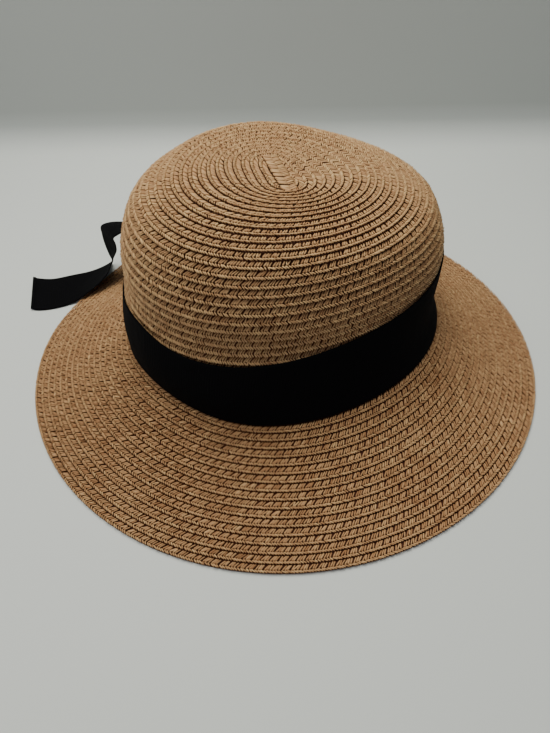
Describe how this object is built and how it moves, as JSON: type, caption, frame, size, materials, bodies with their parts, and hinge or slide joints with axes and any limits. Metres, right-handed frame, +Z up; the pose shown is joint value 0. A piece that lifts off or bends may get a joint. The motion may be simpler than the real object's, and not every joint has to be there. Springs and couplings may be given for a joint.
{
  "type": "wide-brim straw sun hat",
  "caption": "Wide-brim straw sun hat with a rounded crown of sewn braid and a broad black ribbon tied at the back, one free end trailing past the rim.",
  "frame": {"origin": "middle of the whole hat's bounding box, on the surface that the rim rests on", "axes": "+Z up out of the crown's tip, -Y towards the hat's front, +Y towards its back where the ribbon is tied, +X to the wearer's left as the hat is seen from the front with -X towards the long free end"},
  "size_m": [0.326, 0.32, 0.1197],
  "materials": {
    "straw": "tan paper-straw braid, matt with a dull sheen on the folds",
    "ribbon": "black ribbed grosgrain, matt"
  },
  "bodies": {
    "root": {"crown": "straw", "brim": "straw", "ribbon_band": "ribbon", "ribbon_knot": "ribbon", "ribbon_tail": "ribbon", "ribbon_tail_short": "ribbon"}
  },
  "joints": []
}
